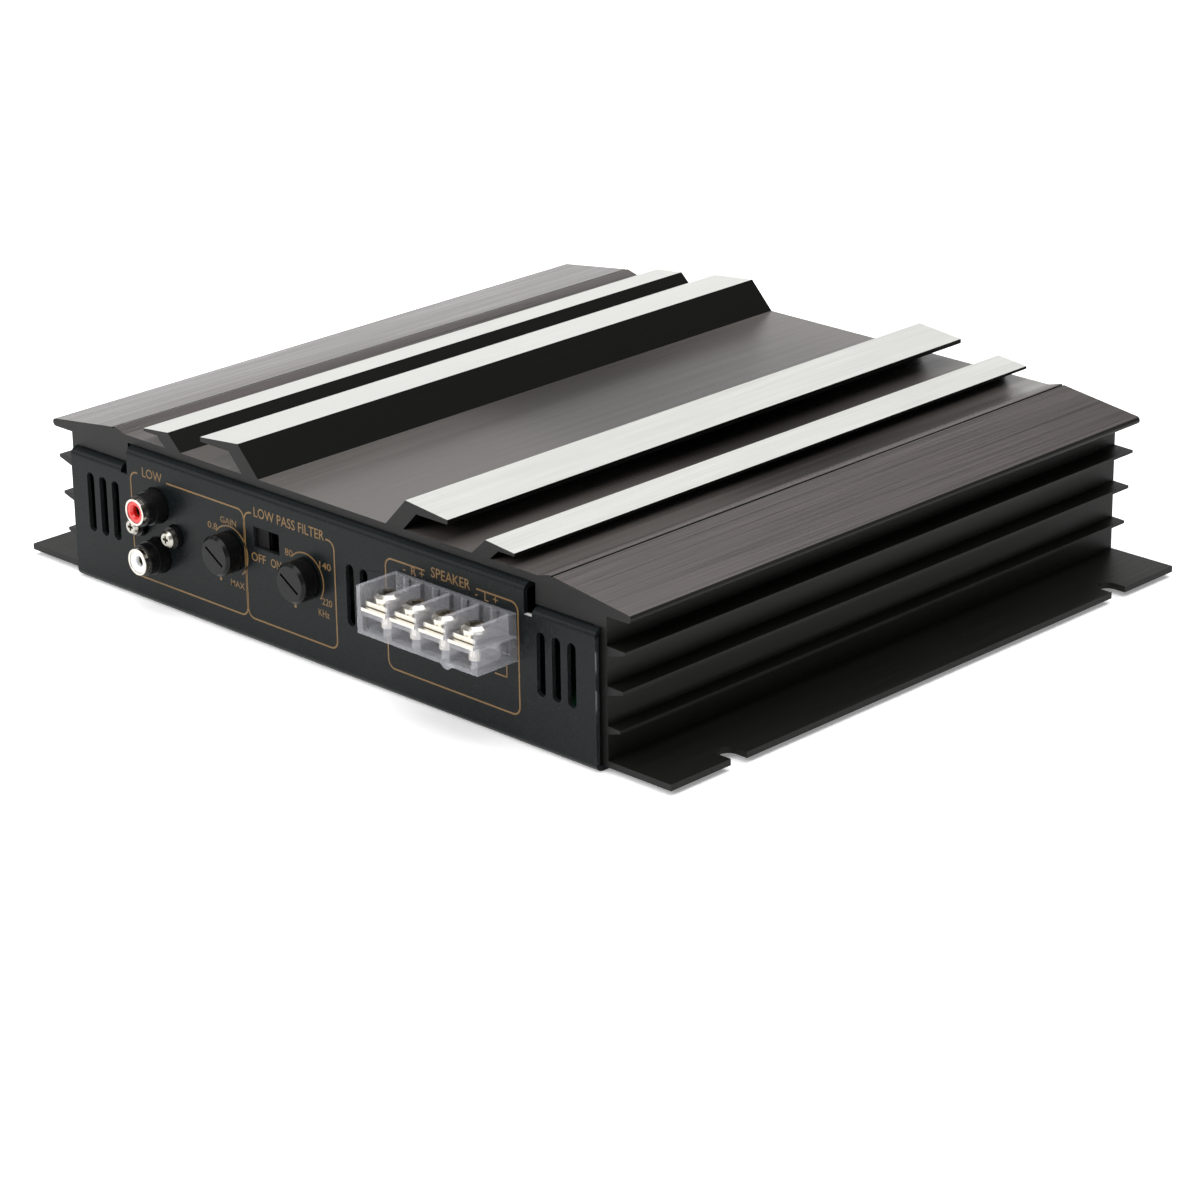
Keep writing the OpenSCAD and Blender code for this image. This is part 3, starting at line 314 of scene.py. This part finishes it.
# ---------------------------------------------------------------- CAD nodes

# Edges that turn less than the first are shaded smooth, and those past the second are rounded
SMOOTH_ANGLE = math.radians(35)
ROUNDED_ANGLE = math.radians(38)
JOIN_DISTANCE = 1e-6


def smoothing_group():
    """Geometry nodes that join a node's split faces and shade its gentle edges smooth."""
    tree = bpy.data.node_groups.new("join_and_smooth", "GeometryNodeTree")
    tree.interface.new_socket("Geometry", in_out="INPUT", socket_type="NodeSocketGeometry")
    tree.interface.new_socket("Geometry", in_out="OUTPUT", socket_type="NodeSocketGeometry")
    start = tree.nodes.new("NodeGroupInput")
    end = tree.nodes.new("NodeGroupOutput")
    merge = tree.nodes.new("GeometryNodeMergeByDistance")
    merge.inputs["Distance"].default_value = JOIN_DISTANCE
    faces = tree.nodes.new("GeometryNodeSetShadeSmooth")
    faces.domain = "FACE"
    edges = tree.nodes.new("GeometryNodeSetShadeSmooth")
    edges.domain = "EDGE"
    angle = tree.nodes.new("GeometryNodeInputMeshEdgeAngle")
    gentle = tree.nodes.new("FunctionNodeCompare")
    gentle.data_type = "FLOAT"
    gentle.operation = "LESS_THAN"
    gentle.inputs[1].default_value = SMOOTH_ANGLE
    link = tree.links.new
    link(start.outputs[0], merge.inputs["Geometry"])
    link(merge.outputs["Geometry"], faces.inputs["Geometry"])
    link(faces.outputs["Geometry"], edges.inputs["Geometry"])
    link(angle.outputs["Unsigned Angle"], gentle.inputs[0])
    link(gentle.outputs["Result"], edges.inputs["Shade Smooth"])
    link(edges.outputs["Geometry"], end.inputs[0])
    return tree


SMOOTHING = smoothing_group()


def finish_edges(node, width):
    """Joins and smooths a CAD node, and rounds its sharp edges by a width in metres."""
    attributes = node.data.attributes
    if "custom_normal" in attributes:
        attributes.remove(attributes["custom_normal"])
    smooth = node.modifiers.new("smooth", "NODES")
    smooth.node_group = SMOOTHING
    rounding = node.modifiers.new("round_edges", "BEVEL")
    rounding.width = width
    rounding.segments = 2
    rounding.limit_method = "ANGLE"
    rounding.angle_limit = ROUNDED_ANGLE
    rounding.harden_normals = True
    rounding.use_clamp_overlap = True


# Widths of the rounded edges in millimetres, for the nodes that aren't at the usual one
USUAL_EDGE = 0.1
EDGE_WIDTHS = {
    "heatsink": 0.22,
    "front_panel": 0.12,
    "rear_panel": 0.12,
    "bottom_plate": 0.15,
    "rca_housing": 0.2,
    "rca_shells": 0.15,
    "rca_insert_red": 0.12,
    "rca_insert_white": 0.12,
    "gain_knob": 0.25,
    "crossover_knob": 0.25,
    "speaker_terminal_base": 0.18,
    "speaker_terminal_guard": 0.2,
    "power_terminal_base": 0.18,
    "power_terminal_guard": 0.2,
    "fuse_1_body": 0.35,
    "fuse_2_body": 0.35,
    "switch_slider": 0.15,
}
for look, members in NODE_LOOKS.items():
    for name in members:
        piece = nodes[name]
        piece.data.materials.clear()
        piece.data.materials.append(MAT[look])
        finish_edges(piece, EDGE_WIDTHS.get(name, USUAL_EDGE) * MM)


def paint_faces(node, material, chosen):
    """Gives the faces of a node that a test picks out, by middle and normal, another material."""
    mesh = node.data
    mesh.materials.append(material)
    index = len(mesh.materials) - 1
    for face in mesh.polygons:
        if chosen(face.center, face.normal):
            face.material_index = index


# Where the finishes of the heatsink and the panels change, and where the painted shade, highlight and glint
# go
PLATE_TOP = 50.0 * MM
STRIPS_ABOVE = PLATE_TOP + 1.5 * MM
SHOULDER_INNER_EDGE = 86 * MM
SHOULDER_ABOVE = 44 * MM
SAWN_ENDS_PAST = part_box("heatsink")[1].y - 0.5 * MM
PANEL_SKIN_PAST = REAR_FACE - 2 * MM
CUT_EDGE_RANGE = (13 * MM, 38 * MM)
# The bare cut edge in the notch between a panel's middle and its right end, which also gets a painted glint
NOTCH_RANGE = (83 * MM, 87 * MM)
NOTCH_HEIGHTS = (38 * MM, 39.5 * MM)


def faces_up(normal):
    return normal.z > 0.9


def between_shoulders(middle):
    return abs(middle.x) < SHOULDER_INNER_EDGE


def is_plate(middle, normal):
    return faces_up(normal) and abs(middle.z - PLATE_TOP) < 0.3 * MM and between_shoulders(middle)


def is_strip(middle, normal):
    return faces_up(normal) and middle.z > STRIPS_ABOVE and between_shoulders(middle)


def is_shoulder(middle, normal):
    return faces_up(normal) and middle.z > SHOULDER_ABOVE and abs(middle.x) > SHOULDER_INNER_EDGE


# The fins' sloping webs, which get the painted shade
def is_web(middle, normal):
    slopes = normal.z < 0.9 and abs(normal.y) < 0.1
    return slopes and middle.z > PLATE_TOP and between_shoulders(middle)


def is_sawn_end(middle, normal):
    return abs(normal.y) > 0.9 and abs(middle.y) > SAWN_ENDS_PAST


# Cut edges of a panel's sheet, which get the painted highlight
def is_cut_edge(middle, normal):
    low, high = CUT_EDGE_RANGE
    return abs(normal.y) < 0.5 and abs(middle.y) > PANEL_SKIN_PAST and low < middle.z < high


def is_notch_floor(middle, normal):
    left, right = NOTCH_RANGE
    low, high = NOTCH_HEIGHTS
    return left < middle.x < right and low < middle.z < high and faces_up(normal)


for look, chosen in (("plate", is_plate), ("strip", is_strip), ("shoulder", is_shoulder),
                     ("web", is_web), ("cut", is_sawn_end)):
    paint_faces(nodes["heatsink"], MAT[look], chosen)
# Each panel's cut edges get a painted highlight, and its notch floor a painted glint
for panel in ("front_panel", "rear_panel"):
    paint_faces(nodes[panel], MAT["paint_edge"], is_cut_edge)
    paint_faces(nodes[panel], MAT["bare_edge"], is_notch_floor)


# ---------------------------------------------------------------- printed marks

# How far the print stands off the panel, and how thick its lines and letters are
PRINT_GAP = 0.02 * MM
LINE_THICKNESS = 0.03 * MM
LETTER_THICKNESS = 0.02 * MM
LETTER_SWELL = 0.012 * MM
# The height of a capital as a share of the font's size
CAP_SHARE = 0.7


def panel_point(across, up, side=FRONT):
    """A point just proud of an end panel, from millimetres across and above the flanges' underside."""
    face = FRONT_FACE if side == FRONT else REAR_FACE
    return Vector((across * MM, face + side * PRINT_GAP, (up + FLANGE_UNDERSIDE) * MM))


def finish_print(piece):
    """Gives a printed piece its ink, and fixes it to the case."""
    piece.data.materials.append(MAT["print"])
    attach(piece, "case")


def arc(cx, cy, radius, start, end, steps=10):
    """Points on an arc, with angles in degrees from the first axis."""
    turns = [math.radians(start + (end - start) * step / steps) for step in range(steps + 1)]
    return [(cx + radius * math.cos(turn), cy + radius * math.sin(turn)) for turn in turns]


def ribbon(name, paths, width=0.5):
    """Thin printed lines along paths on the front panel, each a closed strip, as one mesh."""
    mesh = bmesh.new()
    lift = Vector((0, FRONT * LINE_THICKNESS, 0))
    for path in paths:
        rims = []
        for index, (x, z) in enumerate(path):
            before = Vector(path[max(index - 1, 0)])
            after = Vector(path[min(index + 1, len(path) - 1)])
            along = (after - before).normalized()
            across = Vector((-along.y, along.x)) * width / 2
            corners = [(x + across.x, z + across.y), (x - across.x, z - across.y)]
            back = [mesh.verts.new(panel_point(*corner)) for corner in corners]
            front = [mesh.verts.new(vertex.co + lift) for vertex in back]
            rims.append((back[0], back[1], front[1], front[0]))
        for first, second in zip(rims, rims[1:]):
            for k in range(4):
                j = (k + 1) % 4
                mesh.faces.new((first[k], first[j], second[j], second[k]))
        mesh.faces.new(rims[0])
        mesh.faces.new(rims[-1][::-1])
    bmesh.ops.recalc_face_normals(mesh, faces=mesh.faces)
    data = bpy.data.meshes.new(name)
    mesh.to_mesh(data)
    mesh.free()
    piece = bpy.data.objects.new(name, data)
    scene.collection.objects.link(piece)
    finish_print(piece)


def rounded_frame(left, right, low, high, gap, radius=2.6):
    """A rectangle with rounded corners, open along its top between two places."""
    gap_from, gap_to = gap
    return (
        [(gap_to, high), (right - radius, high)]
        + arc(right - radius, high - radius, radius, 90, 0, 6)
        + arc(right - radius, low + radius, radius, 0, -90, 6)
        + arc(left + radius, low + radius, radius, 270, 180, 6)
        + arc(left + radius, high - radius, radius, 180, 90, 6)
        + [(gap_from, high)]
    )


def label(name, text, across, up, height, width=None, side=FRONT):
    """Generic printed lettering, centred on a panel point, with a cap height in millimetres."""
    data = bpy.data.curves.new(name, "FONT")
    data.body = text
    data.size = height * MM / CAP_SHARE
    data.align_x = "CENTER"
    data.align_y = "CENTER"
    data.extrude = LETTER_THICKNESS
    data.offset = LETTER_SWELL
    data.resolution_u = 3
    piece = bpy.data.objects.new(name, data)
    scene.collection.objects.link(piece)
    turn = Matrix.Rotation(math.radians(90), 4, "X")
    if side == REAR:
        turn = Matrix.Rotation(math.radians(180), 4, "Z") @ turn
    bpy.context.view_layer.update()
    stretch = Matrix.Identity(4)
    if width:
        stretch[0][0] = width * MM / piece.dimensions.x
    piece.matrix_world = Matrix.Translation(panel_point(across, up, side)) @ turn @ stretch
    finish_print(piece)


def knob_place(name):
    """The middle of a knob, in millimetres across and above the flanges' underside."""
    low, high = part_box(name)
    middle = (low + high) / 2
    return middle.x / MM, middle.z / MM - FLANGE_UNDERSIDE


# The square dot printed below and to the left of each knob, in millimetres from its middle
DOT_ACROSS = -4.8
DOT_UP = -9.7
DOT_SIZE = 0.9


def dot(place):
    """A line as long as it is wide, which prints as a square."""
    across = place[0] + DOT_ACROSS
    up = place[1] + DOT_UP
    return [(across - DOT_SIZE / 2, up), (across + DOT_SIZE / 2, up)]


GAIN = knob_place("gain_knob")
CROSSOVER = knob_place("crossover_knob")
SCALE_RADIUS = 7.7
SCALE_STEPS = 30
FINE_LINE = 0.45
FRAMES = {
    "input": rounded_frame(left=-81.9, right=-31.05, low=6.2, high=38.8, gap=(-78.6, -65.4)),
    "crossover": rounded_frame(left=-30.75, right=7.6, low=6.2, high=38.8, gap=(-27.6, 4.2)),
    "speaker": rounded_frame(left=28.9, right=81.2, low=6.9, high=39.8, gap=(44.8, 65.2)),
}
for key, outline in FRAMES.items():
    ribbon(f"printed_frame_{key}", [outline])
gain_scale = arc(*GAIN, SCALE_RADIUS, 140, -50, SCALE_STEPS)
crossover_scale = arc(*CROSSOVER, SCALE_RADIUS, 135, -38, SCALE_STEPS)
ribbon("printed_scales", [gain_scale, crossover_scale], width=FINE_LINE)
ribbon("printed_ticks", [dot(GAIN), dot(CROSSOVER)], width=DOT_SIZE)
ribbon("printed_bracket", [[(71.7, 17.0), (76.4, 17.0)], [(76.4, 16.8), (76.4, 20.5)]], width=FINE_LINE)

# Key, text, place across and up, cap height, and width, where None keeps the font's own width
LABELS = [
    ("input", "LOW", -72.0, 39.6, 2.9, 9.0),
    ("gain_low", "0.8", -45.2, 30.6, 2.0, 4.2),
    ("gain", "GAIN", -38.0, 33.6, 1.9, 7.0),
    ("gain_high", "MAX", -35.2, 14.9, 2.0, 6.0),
    ("filter", "LOW PASS FILTER", -11.6, 39.4, 3.0, 30.0),
    ("filter_off", "OFF", -25.2, 25.5, 2.6, 6.2),
    ("filter_on", "ON", -17.6, 25.5, 2.6, 4.5),
    ("filter_80", "80", -11.9, 30.6, 2.1, 3.3),
    ("filter_140", "140", 3.2, 30.4, 2.1, 4.8),
    ("filter_220", "220", 3.8, 19.4, 2.1, 4.2),
    ("filter_unit", "KHz", 2.2, 15.7, 2.1, 4.6),
    ("speaker", "SPEAKER", 55.0, 40.0, 3.0, 15.4),
    ("right_minus", "-", 36.6, 38.2, 2.6, None),
    ("right", "R", 40.2, 38.3, 2.6, None),
    ("right_plus", "+", 43.6, 38.3, 2.6, None),
    ("left_minus", "-", 65.2, 38.3, 2.6, None),
    ("left", "L", 69.0, 38.3, 2.6, None),
    ("left_plus", "+", 72.6, 38.3, 2.6, None),
]
for key, text, across, up, height, width in LABELS:
    label(f"printed_{key}", text, across, up, height, width)

# Key, text, place across and up, and cap height
REAR_LABELS = [
    ("power_plus", "+12V", 60.0, 40.0, 2.4),
    ("power_remote", "REM", 46.0, 40.0, 2.4),
    ("power_ground", "GND", 32.0, 40.0, 2.4),
    ("power_fuse", "FUSE", -12.0, 33.0, 2.6),
    ("power_lamps", "PWR   PRO", -56.0, 29.5, 2.0),
]
for key, text, across, up, height in REAR_LABELS:
    label(f"printed_{key}", text, across, up, height, side=REAR)


# ---------------------------------------------------------------- stage, light and camera

def floor_material():
    """A pale matt floor with a faint glow, so that the shadows on it stay soft."""
    material, tree, shader = new_material("pale_floor")
    shade_factor = spread(tree, noise(tree, (3, 3, 3), 2.0), 0.0, 1.0)
    colour = blend_colours(tree, shade_factor, (0.93, 0.93, 0.93), (0.95, 0.95, 0.95))
    tree.links.new(colour, shader.inputs["Base Color"])
    shader.inputs["Roughness"].default_value = 0.9
    shader.inputs["Specular IOR Level"].default_value = 0.1
    shader.inputs["Emission Color"].default_value = (1.0, 1.0, 1.0, 1.0)
    shader.inputs["Emission Strength"].default_value = 0.24
    return material


def make_floor(half=6.0, drop=0.05 * MM):
    """A square floor just below the part."""
    data = bpy.data.meshes.new("floor")
    corners = [(-half, -half, -drop), (half, -half, -drop), (half, half, -drop), (-half, half, -drop)]
    data.from_pydata(corners, [], [(0, 1, 2, 3)])
    data.materials.append(floor_material())
    floor = bpy.data.objects.new("floor", data)
    scene.collection.objects.link(floor)


def area_light(name, place, target, size, power, size_y=None):
    """A soft light turned to a target, in metres and watts, which the camera doesn't see."""
    data = bpy.data.lights.new(name, "AREA")
    data.energy = power
    data.size = size
    if size_y:
        data.shape = "RECTANGLE"
        data.size_y = size_y
    lamp = bpy.data.objects.new(name, data)
    lamp.location = place
    lamp.rotation_euler = (Vector(target) - Vector(place)).to_track_quat("-Z", "Y").to_euler()
    lamp.visible_camera = False
    scene.collection.objects.link(lamp)


def make_world(strength):
    """An even white surround."""
    world = bpy.data.worlds.new("studio")
    world.use_nodes = True
    background = world.node_tree.nodes["Background"]
    background.inputs["Color"].default_value = (1.0, 1.0, 1.0, 1.0)
    background.inputs["Strength"].default_value = strength
    scene.world = world


def make_camera():
    """The camera, set by the direction that it looks from, its roll, its place and its lens."""
    azimuth = math.radians(44.63)
    elevation = math.radians(21.32)
    roll = math.radians(-0.84)
    level = math.cos(elevation)
    back = Vector((math.sin(azimuth) * level, -math.cos(azimuth) * level, math.sin(elevation)))
    right = Vector((0, 0, 1)).cross(back).normalized()
    up = back.cross(right)
    right_rolled = math.cos(roll) * right + math.sin(roll) * up
    up_rolled = -math.sin(roll) * right + math.cos(roll) * up
    data = bpy.data.cameras.new("camera")
    data.lens = 118.58
    data.sensor_width = 36.0
    camera = bpy.data.objects.new("camera", data)
    turn = Matrix((right_rolled, up_rolled, back)).transposed().to_4x4()
    camera.matrix_world = Matrix.Translation((0.7905, -0.7991, 0.4272)) @ turn
    scene.collection.objects.link(camera)
    scene.camera = camera


make_camera()
make_floor()
make_world(strength=0.32)
area_light("overhead", place=(0.0, 0.3, 1.8), target=(0, 0.1, 0), size=2.4, power=56)
area_light("backdrop", place=(-1.95, 1.4, 0.36), target=(0, 0, 0.1), size=3.0, power=11.5, size_y=0.8)
area_light("left_fill", place=(-1.3, -1.2, 0.8), target=(0, 0, 0.03), size=0.9, power=6)
area_light("front_fill", place=(-0.2, -1.7, 1.3), target=(0, -0.3, 0), size=1.3, power=21)
scene.view_settings.view_transform = "Standard"
